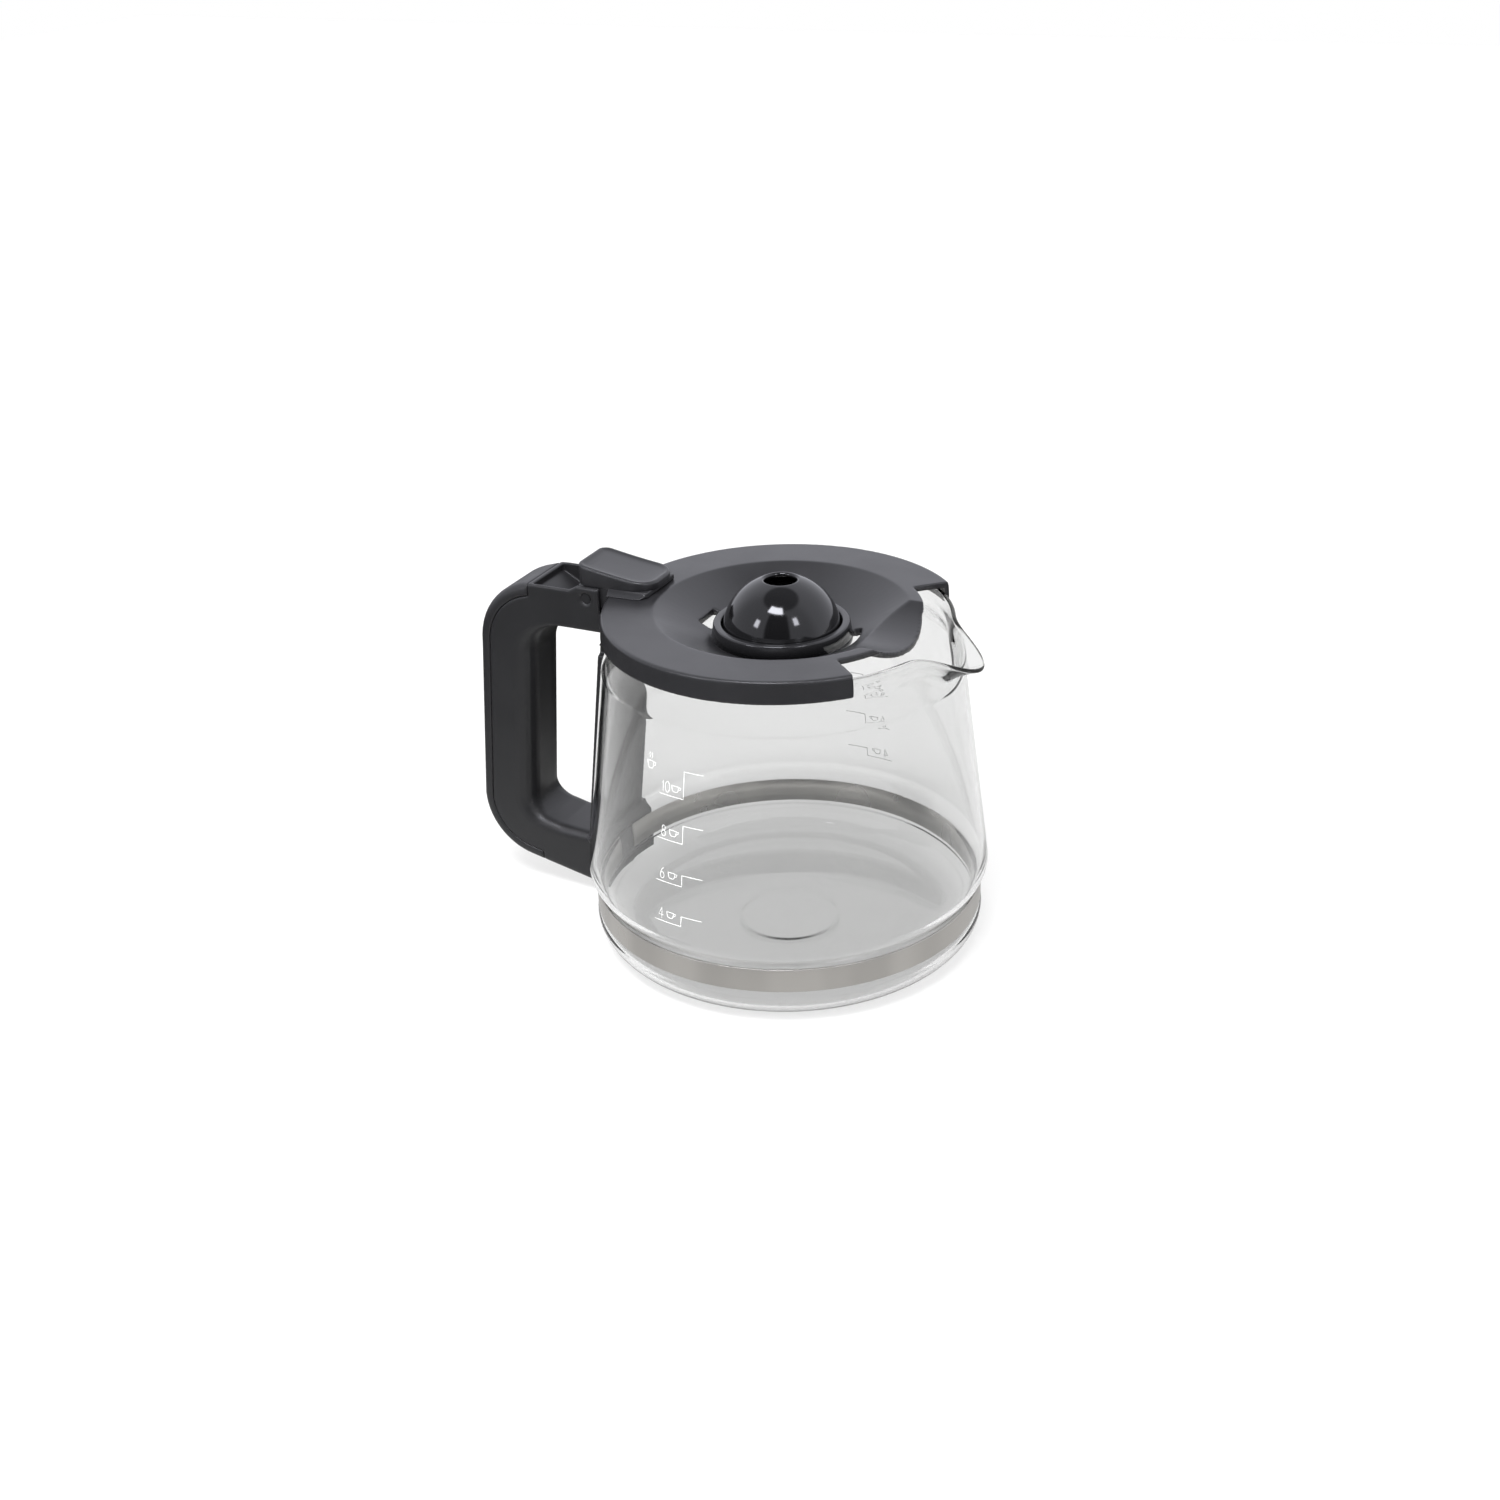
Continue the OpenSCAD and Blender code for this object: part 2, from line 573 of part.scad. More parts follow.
module lid_body() color("#4a4b50") difference() {
    union() {
        rotate_extrude($fn = fine) lid_profile();
        // Underside of the trough, where it hangs below the flat rim
        intersection() {
            trough(lid_t);
            translate([0, 0, dish_floor_z])
                cylinder(r = tongue_r - lid_edge, h = dish_depth - lid_edge, $fn = fine);
        }
    }
    // Bowl of the dish
    rotate_extrude($fn = fine)
        polygon([[0, dish_floor_z], [dish_floor_r, dish_floor_z], [dish_r, lid_z], [dish_r, lid_z + over],
                 [0, lid_z + over]]);
    trough(0);
    notch_sector(tongue_r);
    // Drain slots beside the collar, on the handle side and on the spout side
    translate([-left_slot_x, -left_slot_half_w, 0])
        cube([left_slot_x - dish_floor_r, 2 * left_slot_half_w, 2 * jug_h]);
    intersection() {
        translate([dish_floor_r / 2, -right_slot_half_w, 0])
            cube([dish_r, 2 * right_slot_half_w, 2 * jug_h]);
        difference() {
            cylinder(r = right_slot_r, h = 2 * jug_h, $fn = fine);
            translate([0, 0, -over]) cylinder(r = dish_floor_r, h = 2 * jug_h + 2 * over, $fn = fine);
        }
    }
    // The back of the skirt is notched for the lever
    translate([-2 * lid_r, -lever_w / 2 - seat_gap, 0])
        cube([lid_r + skirt_t, lever_w + 2 * seat_gap, lid_z - lid_t]);
}

// Lever: knuckle round the pin, an arm to the lid, and a raised seat for the thumb pad
lever_w = 20.4;
pad_seat_back_rise = 1.6;
pad_seat_tip_rise = 2.2;
pad_seat_back_z = lid_z + pad_seat_back_rise;
pad_seat_tip_z = lid_z + pad_seat_tip_rise;
lever_low_z = hinge_z - knuckle_r;
lever_set_back = 1.4;
lever_front_x = pad_tip_x + lever_set_back;
seat_inset = 0.6;
function seat_z(x) = mix(pad_seat_back_z, pad_seat_tip_z, (pad_back_x - x) / (pad_back_x - pad_tip_x));
skirt_back_x = lid_r - skirt_t + seat_gap;
lever_seat_x = lid_r + skirt_flare + seat_gap;
flare_share = 0.69;     // half width of the foot at the edge of the lid, in lever widths
flare_mid_share = 0.65; // the same near the tip
flare_mid_at = 0.8;     // how near to the tip that is
module lid_lever() color("#2f3033") difference() {
    union() {
        translate([-hinge_x, 0, hinge_z]) rotate([90, 0, 0])
            cylinder(r = knuckle_r, h = lever_w, center = true, $fn = round_fn);
        rotate([90, 0, 0]) linear_extrude(lever_w, center = true)
            polygon([[-hinge_x, lever_low_z],
                     [-skirt_back_x - skirt_t, lid_z - skirt_h / 2 - lid_t],
                     [-skirt_back_x, lid_z - skirt_h / 2],
                     [-skirt_back_x, lid_z - lid_t - seat_gap],
                     [-lever_seat_x, lid_z - lid_t - seat_gap],
                     [-lever_seat_x, lid_z + seat_gap],
                     [-lever_front_x, lid_z + seat_gap],
                     [-lever_front_x, seat_z(lever_front_x)],
                     [-pad_back_x + seat_inset, seat_z(pad_back_x)],
                     [-hinge_x - knuckle_r * cos(30), hinge_z + knuckle_r * sin(30)]]);
        // Flared foot of the pad on the flat rim
        hull() {
            translate([0, 0, lid_z + seat_gap]) linear_extrude(seat_gap)
                polygon([[-lid_r + lid_edge, -flare_share * lever_w],
                         [-lid_r + lid_edge, flare_share * lever_w],
                         [-mix(lid_r, pad_tip_x, flare_mid_at), flare_mid_share * lever_w],
                         [-lever_front_x, lever_w / 2 - seat_inset],
                         [-lever_front_x, -lever_w / 2 + seat_inset],
                         [-mix(lid_r, pad_tip_x, flare_mid_at), -flare_mid_share * lever_w]]);
            translate([0, 0, seat_z(lid_r) - seat_gap]) linear_extrude(seat_gap)
                polygon([[-lid_r, -lever_w / 2], [-lid_r, lever_w / 2],
                         [-lever_front_x, lever_w / 2 - seat_inset],
                         [-lever_front_x, -lever_w / 2 + seat_inset]]);
        }
    }
    translate([-hinge_x, 0, hinge_z]) rotate([90, 0, 0])
        cylinder(r = pin_r + run_gap, h = lever_w + 2 * over, center = true, $fn = round_fn);
}

// Thumb pad: a wedge with a rounded tip, seen from above and from the side
pad_tip_r = 6;
pad_back_r = 3;
pad_top_shares = [[0, 1], [0.3, 0.62], [0.62, 0.3], [0.84, 0.08], [1, 0]];
module pad_outline() polygon(concat(
    arc(-pad_tip_x - pad_tip_r, pad_w / 2 - pad_tip_r, pad_tip_r, 0, 90, corner_n),
    arc(-pad_back_x + pad_back_r, pad_w / 2 - pad_back_r, pad_back_r, 90, 180, edge_n),
    arc(-pad_back_x + pad_back_r, -pad_w / 2 + pad_back_r, pad_back_r, 180, 270, edge_n),
    arc(-pad_tip_x - pad_tip_r, -pad_w / 2 + pad_tip_r, pad_tip_r, 270, 360, corner_n)));
module thumb_pad() color("#3c3d41") intersection() {
    translate([0, 0, lid_z]) linear_extrude(skirt_h + knuckle_r) pad_outline();
    rotate([90, 0, 0]) linear_extrude(2 * pad_w, center = true)
        polygon(concat([[-pad_back_x, seat_z(pad_back_x) + seat_gap]],
                       [for (s = pad_top_shares)
                           [mix(-pad_back_x, -pad_tip_x, s[0]), mix(pad_tip_z, pad_back_z, s[1])]],
                       [[-pad_tip_x, seat_z(pad_tip_x) + seat_gap]]));
}

// Collar round the foot of the dome, and the dome with its drip hole
collar_play = 0.1;
collar_top_w = 2.9;    // width of the top of the collar
module dome_collar() color("#1c1d20") rotate_extrude($fn = fine)
    polygon([[dome_r + collar_play, dish_floor_z], [dish_floor_r - collar_play, dish_floor_z],
             [dome_r + collar_top_w, dish_floor_z + collar_h],
             [dome_r + collar_play, dish_floor_z + collar_h]]);

dome_z = dish_floor_z + dome_rise;
lip_r = 0.75;
lip_z = sqrt(pow(dome_r - dome_t / 2, 2) - pow(drip_r + lip_r, 2));
module dome_cap() color("#0b0c0e") translate([0, 0, dome_z]) rotate_extrude($fn = fine) {
    difference() {
        union() {
            intersection() {
                circle(r = dome_r, $fn = fine);
                square([dome_r, dome_r]);
            }
            translate([0, -dome_rise]) square([dome_r, dome_rise]);
        }
        circle(r = dome_r - dome_t, $fn = fine);
        translate([0, -dome_r]) square([dome_r - dome_t, dome_r]);
        translate([0, -dome_r]) square([drip_r + lip_r, 2 * dome_r + over]);
        translate([-dome_r, -2 * dome_r]) square([dome_r, 4 * dome_r]);
    }
    translate([drip_r + lip_r, lip_z]) circle(r = lip_r, $fn = round_fn);
}

glass_jug();
base_band();
band_anchor();
clamp_screw();
neck_screw();
handle_spine();
handle_body();
handle_back_cover();
hinge_pin();
lid_body();
lid_lever();
thumb_pad();
dome_collar();
dome_cap();
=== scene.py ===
import json
import math

import bmesh
import bpy
from mathutils import Matrix, Vector


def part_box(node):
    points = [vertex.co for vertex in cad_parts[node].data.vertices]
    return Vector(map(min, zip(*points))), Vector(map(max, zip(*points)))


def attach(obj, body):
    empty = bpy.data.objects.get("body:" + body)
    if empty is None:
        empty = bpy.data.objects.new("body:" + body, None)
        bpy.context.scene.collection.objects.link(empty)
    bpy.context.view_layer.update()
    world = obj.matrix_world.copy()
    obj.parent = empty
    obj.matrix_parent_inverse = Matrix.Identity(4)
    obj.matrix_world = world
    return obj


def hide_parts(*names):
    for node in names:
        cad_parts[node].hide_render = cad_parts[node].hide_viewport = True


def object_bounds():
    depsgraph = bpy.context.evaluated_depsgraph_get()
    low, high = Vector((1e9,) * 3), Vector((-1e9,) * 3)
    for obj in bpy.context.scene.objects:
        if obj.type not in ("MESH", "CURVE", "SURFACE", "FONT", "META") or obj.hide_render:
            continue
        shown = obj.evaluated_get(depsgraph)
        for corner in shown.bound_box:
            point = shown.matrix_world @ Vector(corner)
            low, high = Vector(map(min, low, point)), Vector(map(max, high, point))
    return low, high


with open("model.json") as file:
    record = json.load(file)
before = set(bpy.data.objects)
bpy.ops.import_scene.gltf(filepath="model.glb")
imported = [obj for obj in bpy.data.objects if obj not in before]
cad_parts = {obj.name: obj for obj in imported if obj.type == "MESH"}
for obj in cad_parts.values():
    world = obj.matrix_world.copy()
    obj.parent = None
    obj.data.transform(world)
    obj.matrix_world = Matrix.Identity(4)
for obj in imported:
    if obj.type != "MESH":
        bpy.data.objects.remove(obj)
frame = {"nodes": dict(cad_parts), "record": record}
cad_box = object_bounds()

# Coffee server carafe: clear glass jug, steel strap, dark moulded handle and lid, gloss drip dome.
# Lengths in this script are millimetres and angles are degrees, up to the meshes, which are metres.
MM = 0.001
scene = bpy.context.scene


def box_mm(node):
    """Lowest and highest corner of a CAD node, in millimetres."""
    low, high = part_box(node)
    return low / MM, high / MM


strap_low, strap_high = box_mm("base_band")
collar_low, collar_high = box_mm("dome_collar")
dome_low, dome_high = box_mm("dome_cap")
pad_low, pad_high = box_mm("thumb_pad")
jug_h = box_mm("glass_jug")[1].z
lid_top = box_mm("lid_body")[1].z

# Glass jug. Its height comes from the solid. Its wall, lip, heel, neck turn and spout differ from the
# solid's by up to 1.4 mm, as fitted to the photograph.
foot_r = 69.4        # side of the glass, under the strap
heel_h = 11          # rounded heel, as a quarter of an ellipse
heel_w = 14
heel_out = 1.0       # how far the heel stands out below the strap, and over which height
heel_soft = 3
shoulder_r = 72.6    # radius of the straight side, carried down to the shoulder
shoulder_rise = 4.9
shoulder_soft = 7    # height over which the groove opens out to the side
neck_h = 17.5        # from the start of the neck's turn to the top
turn_h = 10
turn_out = 4.4
neck_r = 58.8
wall = 1.7
even_half = 1.8      # half the height over which the inner surface is evened out
rim_bead_r = 0.75
lip_wall = 1.4
rim_out = 0.8        # how far the rim leans out, and over which height
lean_h = 4.6
bead_turn = (-25, 205)  # angles of the bead's section, where it starts and ends
floor_disc_r = 16.5  # raised disc in the middle of the floor, with its sloping edge
floor_disc_h = 0.6
floor_disc_edge = 2.8
spout_reach = 13.2
spout_drop = 8.5
spout_half = 26      # half the angle that the spout opens over
spout_shape = 2      # power of its rounding across, and up to its tip
spout_curl = 2.1
spout_below = 2.3    # how far under the neck's turn it starts
fine_past = 3        # how far past the spout the close sections go
groove_z = strap_high.z + 0.2
heel_z = strap_low.z - 0.2
shoulder_z = groove_z + shoulder_rise
turn_z = jug_h - neck_h
neck_z = turn_z + turn_h
turn_r = neck_r + turn_out
rim_z = jug_h - rim_bead_r
lean_z = rim_z - lean_h
spout_z = turn_z - spout_below

# Strap, open between its ends under the anchor block
strap_gap = 10
strap_clear = 0.05
strap_round = 0.28

# Collar and dome
collar_clear = 0.1
collar_top_w = 2.9
collar_round = 0.9
dome_wall = 1.8
dome_rise = 0.4
drip_hole_r = 5.6

# Thumb pad, a wedge. Its rings run up from the seat and in over the top, each as an inset, a lift from
# the seat and a depth below the top, so that it has a raised rim round a slightly dished top.
pad_tip_r = 7.5
pad_back_r = 4
pad_least_r = 0.8
pad_tip_drop = 4.3
pad_fall = 1.35      # power with which the top falls to the tip
pad_crown = 0.7
pad_seat = (0.2, 1.6)
pad_rings = (
    (1.3, 0, 0), (0.7, 0.15, 0), (0.3, 0.5, 0), (0.1, 1.0, 0), (0, 1.5, 0),
    (0, 0, 1.0), (0.1, 0, 0.6), (0.35, 0, 0.22), (0.75, 0, 0.03),
    (1.15, 0, 0.02), (1.6, 0, 0.2), (2.2, 0, 0.42), (3, 0, 0.52), (4.5, 0, 0.6),
)

# Moulded pieces: the width of a voxel and the passes of smoothing that soften each
moulded = {
    "handle_body": (0.4, 4),
    "handle_back_cover": (0.4, 4),
    "handle_spine": (0.35, 6),
    "lid_body": (0.5, 3),
    "lid_lever": (0.3, 12),
}
relax_share = 0.5    # strength of one pass
keep_share = 0.6     # share of the triangles that is kept
weld_gap = 0.001     # points nearer than this become one

# Camera, as fitted to the photograph: place, forward and up
camera_place = (269.46, -564.94, 382.13)
camera_forward = (-0.40140725, 0.7999933, -0.44596295)
camera_up = (-0.16714708, 0.41475115, 0.89445142)
camera_lens = 47.215
sensor_width = 36
camera_near = 10
camera_far = 100000


def mix(a, b, t):
    return a + (b - a) * t


def smooth(t):
    """Smooth step, level below 0 and above 1."""
    t = max(0, min(1, t))
    return t * t * (3 - 2 * t)


def steps(a, b, n):
    """n + 1 even values from a to b."""
    return [mix(a, b, i / n) for i in range(n + 1)]


def arc(cx, cy, r, a0, a1, n):
    """Points of an arc, as (x, y)."""
    turns = [math.radians(a) for a in steps(a0, a1, n)]
    return [(cx + r * math.cos(a), cy + r * math.sin(a)) for a in turns]


def oval(cx, cy, rx, ry, a0=0, a1=360, n=16):
    """Points of an arc of an ellipse, as (x, y)."""
    return [(cx + rx * x, cy + ry * y) for x, y in arc(0, 0, 1, a0, a1, n)]


def spin(r, z, az):
    """A point at radius r, height z and azimuth az."""
    a = math.radians(az)
    return Vector((r * math.cos(a), r * math.sin(a), z))


# Nodes

class Graph:
    """Short calls for building a node tree."""

    def __init__(self, tree):
        self.tree = tree
        tree.nodes.clear()

    def node(self, kind, **settings):
        made = self.tree.nodes.new(kind)
        for name, value in settings.items():
            setattr(made, name, value)
        return made

    def feed(self, socket, value):
        """Link a socket, or set a plain value."""
        if isinstance(value, bpy.types.NodeSocket):
            self.tree.links.new(value, socket)
        else:
            socket.default_value = value

    def math(self, operation, *values):
        made = self.node("ShaderNodeMath", operation=operation)
        for i, value in enumerate(values):
            self.feed(made.inputs[i], value)
        return made.outputs[0]

    def ramp(self, value, low, high, out_low=0.0, out_high=1.0):
        """Smooth step of value between low and high."""
        made = self.node("ShaderNodeMapRange", interpolation_type="SMOOTHSTEP")
        for name, given in zip(("Value", "From Min", "From Max", "To Min", "To Max"),
                               (value, low, high, out_low, out_high)):
            self.feed(made.inputs[name], given)
        return made.outputs["Result"]

    def within(self, value, low, high, soft):
        """One where an angle lies between low and high degrees, nought outside."""
        mid, half = math.radians((low + high) / 2), math.radians((high - low) / 2)
        soft = math.radians(soft)
        away = self.math("ABSOLUTE", self.math("SUBTRACT", value, mid))
        return self.ramp(away, half + soft, half - soft)

    def blend(self, factor, a, b):
        """Mix of two colours."""
        made = self.node("ShaderNodeMix", data_type="RGBA")
        self.feed(made.inputs["Factor"], factor)
        self.feed(made.inputs[6], a)
        self.feed(made.inputs[7], b)
        return made.outputs[2]

    def noise(self, vector, scale, detail, roughness=0.5):
        """Noise with a scale per metre."""
        made = self.node("ShaderNodeTexNoise")
        self.feed(made.inputs["Vector"], vector)
        self.feed(made.inputs["Scale"], scale)
        self.feed(made.inputs["Detail"], detail)
        self.feed(made.inputs["Roughness"], roughness)
        return made.outputs["Fac"]

    def place(self):
        """Object coordinates, in metres."""
        return self.node("ShaderNodeTexCoord").outputs["Object"]

    def bump(self, height, distance, strength=1.0):
        """Normal of a relief that is distance high."""
        made = self.node("ShaderNodeBump")
        self.feed(made.inputs["Height"], height)
        self.feed(made.inputs["Distance"], distance * MM)
        self.feed(made.inputs["Strength"], strength)
        return made.outputs["Normal"]


def dark_grey(value):
    """Grey with the little blue of dark plastic."""
    return (value, value, value * 1.12, 1)


def dimmed(colour, share):
    """A colour with its levels times share, and opaque."""
    return (*(c * share for c in colour), 1)


def new_material(name):
    made = bpy.data.materials.new(name)
    made.use_nodes = True
    graph = Graph(made.node_tree)
    shader = graph.node("ShaderNodeBsdfPrincipled")
    output = graph.node("ShaderNodeOutputMaterial")
    graph.feed(output.inputs["Surface"], shader.outputs["BSDF"])
    return made, graph, shader


noise_core = (0.3, 0.7)  # span that most of a noise's values lie in


def moulded_plastic(name, dark, light, rough, grain, depth):
    """Dark moulded plastic with a fine spark-eroded grain and a little unevenness in its gloss."""
    cloud_scale, uneven = 60, 0.03
    made, graph, shader = new_material(name)
    place = graph.place()
    cloud = graph.noise(place, cloud_scale, detail=3)
    fine = graph.noise(place, 1 / (grain * MM), detail=2)
    graph.feed(shader.inputs["Base Color"], graph.blend(cloud, dark_grey(dark), dark_grey(light)))
    graph.feed(shader.inputs["Roughness"], graph.ramp(cloud, *noise_core, rough - uneven, rough + uneven))
    graph.feed(shader.inputs["Normal"], graph.bump(fine, depth))
    shader.inputs["IOR"].default_value = 1.5
    return made


def gloss_plastic(name, base, rough):
    """Polished dark plastic with the faintest ripple."""
    ripple_scale, ripple_depth, ripple_core = 90, 0.02, (0.2, 0.8)
    lighter, rougher = 1.15, 1.4
    made, graph, shader = new_material(name)
    ripple = graph.noise(graph.place(), ripple_scale, detail=1)
    shade = graph.blend(ripple, dark_grey(base), dark_grey(base * lighter))
    graph.feed(shader.inputs["Base Color"], shade)
    graph.feed(shader.inputs["Roughness"], graph.ramp(ripple, *ripple_core, rough, rough * rougher))
    graph.feed(shader.inputs["Normal"], graph.bump(ripple, ripple_depth))
    shader.inputs["IOR"].default_value = 1.52
    return made


def brushed_steel(name, base, rough, lengthwise):
    """Steel brushed round the z axis, with longer streaks the smaller lengthwise is, and painted reflection
    as darker patches round the axis.
    """
    streak_scale, streak_depth, streak_strength = 9000, 0.004, 0.6
    cloud_scale, uneven = 40, 0.04
    # Darker patches round the axis are painted reflection of the studio, put into the steel's colour
    painted_reflection_scale, painted_reflection_core, painted_reflection_level = 2.2, (0.42, 0.58), 0.86
    made, graph, shader = new_material(name)
    place = graph.place()
    split = graph.node("ShaderNodeSeparateXYZ")
    graph.feed(split.inputs[0], place)
    angle = graph.math("ARCTAN2", split.outputs["Y"], split.outputs["X"])
    join = graph.node("ShaderNodeCombineXYZ")
    graph.feed(join.inputs["X"], graph.math("MULTIPLY", angle, lengthwise))
    graph.feed(join.inputs["Y"], split.outputs["Z"])
    streak = graph.noise(join.outputs[0], streak_scale, detail=3, roughness=0.6)
    cloud = graph.noise(place, cloud_scale, detail=2)
    around = graph.node("ShaderNodeCombineXYZ")
    graph.feed(around.inputs["X"], angle)
    # Painted reflection: the colour falls to 0.86 of itself in soft patches round the axis
    painted_reflection = graph.ramp(graph.noise(around.outputs[0], painted_reflection_scale, detail=1), *painted_reflection_core, painted_reflection_level, 1.0)
    shade = graph.blend(streak, dimmed(base, 0.93), dimmed(base, 1))
    graph.feed(shader.inputs["Base Color"], graph.blend(painted_reflection, (0, 0, 0, 1), shade))
    graph.feed(shader.inputs["Roughness"], graph.ramp(cloud, *noise_core, rough - uneven, rough + uneven))
    graph.feed(shader.inputs["Normal"], graph.bump(streak, streak_depth, streak_strength))
    shader.inputs["Metallic"].default_value = 1.0
    return made


def clear_glass(name, tint):
    """Blown glass: clear, very slightly grey, with soft waves in its surface."""
    wave_scale, wave_depth, wave_strength = 25, 0.12, 0.5
    made, graph, shader = new_material(name)
    wave = graph.noise(graph.place(), wave_scale, detail=1)
    graph.feed(shader.inputs["Base Color"], graph.blend(wave, dimmed(tint, 1), dimmed(tint, 0.995)))
    graph.feed(shader.inputs["Normal"], graph.bump(wave, wave_depth, wave_strength))
    shader.inputs["Roughness"].default_value = 0.0
    shader.inputs["IOR"].default_value = 1.47
    shader.inputs["Transmission Weight"].default_value = 1.0
    return made


def enamel(name, colour):
    """White enamel ink, fired on to the glass."""
    speck_scale, speck_depth = 4000, 0.01
    made, graph, shader = new_material(name)
    speck = graph.noise(graph.place(), speck_scale, detail=2)
    graph.feed(shader.inputs["Base Color"], graph.blend(speck, dimmed(colour, 1), dimmed(colour, 0.94)))
    graph.feed(shader.inputs["Normal"], graph.bump(speck, speck_depth))
    shader.inputs["Roughness"].default_value = 0.35
    return made


handle_plastic = moulded_plastic("handle_plastic", 0.009, 0.012, rough=0.42, grain=0.28, depth=0.02)
lid_plastic = moulded_plastic("lid_plastic", 0.012, 0.016, rough=0.33, grain=0.28, depth=0.018)
dome_plastic = gloss_plastic("dome_plastic", 0.0045, rough=0.07)
collar_plastic = gloss_plastic("collar_plastic", 0.009, rough=0.17)
strap_steel = brushed_steel("strap_steel", (0.61, 0.59, 0.56), rough=0.3, lengthwise=0.002)
dark_steel = brushed_steel("dark_steel", (0.12, 0.12, 0.125), rough=0.5, lengthwise=0.02)
jug_glass = clear_glass("jug_glass", (0.872, 0.874, 0.872))
mark_enamel = enamel("mark_enamel", (0.82, 0.83, 0.82))


# Meshes

def ring_verts(bm, rings):
    """Vertices at rings of points in millimetres."""
    return [[bm.verts.new(p * MM) for p in ring] for ring in rings]


def bridge(bm, rings):
    """Faces between each closed ring of vertices and the next."""
    for a, b in zip(rings, rings[1:]):
        for i in range(len(a)):
            j = (i + 1) % len(a)
            bm.faces.new((a[i], a[j], b[j], b[i]))


def tube(bm, rings):
    """Faces between the rings, with both ends closed."""
    bridge(bm, rings)
    bm.faces.new(rings[0])
    bm.faces.new(rings[-1][::-1])


def finish_mesh(name, bm):
    """Smooth mesh with its faces turned out."""
    bmesh.ops.recalc_face_normals(bm, faces=bm.faces)
    for face in bm.faces:
        face.smooth = True
    mesh = bpy.data.meshes.new(name)
    bm.to_mesh(mesh)
    bm.free()
    return mesh


def skin(name, rings, wrap):
    """Mesh over closed rings of points in millimetres. With wrap the last ring joins the first."""
    bm = bmesh.new()
    made = ring_verts(bm, rings)
    if wrap:
        bridge(bm, made + made[:1])
    else:
        tube(bm, made)
    bmesh.ops.remove_doubles(bm, verts=bm.verts, dist=weld_gap * MM)
    return finish_mesh(name, bm)


def lathe(name, profile, around=192):
    """Closed profile of (r, z) points, revolved round the z axis."""
    turns = [360 * i / around for i in range(around)]
    return skin(name, [[spin(r, z, az) for r, z in profile] for az in turns], True)


def rounded(points, radius, n=5):
    """Closed outline of (x, y, sharp) points with the corners that aren't sharp rounded."""
    most_share = 0.45  # most of a side that a rounding takes
    made = []
    for i, (x, y, sharp) in enumerate(points):
        here = Vector((x, y))
        if sharp:
            made.append((x, y))
            continue
        before = Vector(points[i - 1][:2]) - here
        after = Vector(points[(i + 1) % len(points)][:2]) - here
        back, on = before.normalized(), after.normalized()
        half = math.acos(max(-1, min(1, back.dot(on)))) / 2
        reach = min(radius / math.tan(half), before.length * most_share, after.length * most_share)
        start, end = here + back * reach, here + on * reach
        for t in steps(0, 1, n):
            p = start * (1 - t) ** 2 + here * 2 * t * (1 - t) + end * t ** 2
            made.append((p.x, p.y))
    return made


def add_piece(name, mesh, body, slot, material, *stands_for):
    piece = bpy.data.objects.new(name, mesh)
    scene.collection.objects.link(piece)
    mesh.materials.clear()
    mesh.materials.append(material)
    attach(piece, body)
    if stands_for:
        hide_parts(*stands_for)


# Glass jug

def jug_r(z):
    """Outer radius of the side of the glass at height z."""
    if z < groove_z:
        return foot_r + heel_out * smooth((heel_z - z) / heel_soft)
    if z < turn_z:
        side = mix(shoulder_r, turn_r, (z - shoulder_z) / (turn_z - shoulder_z))
        return mix(foot_r, side, smooth((z - groove_z) / shoulder_soft))
    if z < neck_z:
        return mix(turn_r, neck_r, smooth((z - turn_z) / turn_h))
    return neck_r + rim_out * smooth((z - lean_z) / (rim_z - lean_z))


def spout_open(az):
    """How far the neck is opened at an azimuth, from 0 to 1 at the tip of the spout."""
    if abs(az) >= spout_half:
        return 0.0
    return math.cos(math.radians(90 * az / spout_half)) ** (2 * spout_shape)


def glass_at(z, az):
    """Outer surface (r, z) that stands at height z on the plain jug, opened where the spout is."""
    if z <= spout_z:
        return Vector((jug_r(z), z))
    s = (z - spout_z) / (rim_z - spout_z)
    g = spout_open(az)
    return Vector((jug_r(z) + spout_reach * g * s ** spout_curl, z - spout_drop * g * s))


def inside_at(z, az):
    """Inner surface: the outer one evened out over a few millimetres, a wall further in."""
    parts = [glass_at(max(heel_h, min(z + d, rim_z)), az) for d in steps(-even_half, even_half, 8)]
    drop = glass_at(z, az).y
    return Vector((sum(p.x for p in parts) / len(parts) - wall, drop))


def glass_frame(z, az):
    """Surface point, the direction in to the jug and the direction along the side."""
    small = 0.05
    low, high = glass_at(z - small, az), glass_at(min(z + small, rim_z), az)
    along = (high - low).normalized()
    return glass_at(z, az), Vector((-along.y, along.x)), along


def wall_at(z):
    """Thickness of the glass, which thins from the neck to the lip."""
    return mix(wall, lip_wall, smooth((z - neck_z) / (rim_z - neck_z)))


# Heights of the points up the side, close together where it curves
side_zs = (steps(heel_h, groove_z, 16)[1:-1] + steps(groove_z, groove_z + shoulder_soft, 16)
           + steps(groove_z + shoulder_soft, spout_z, 16)[1:-1] + steps(spout_z, turn_z, 3)[:-1]
           + steps(turn_z, neck_z, 16) + steps(neck_z, lean_z, 3)[1:-1] + steps(lean_z, rim_z, 8)[:-2])


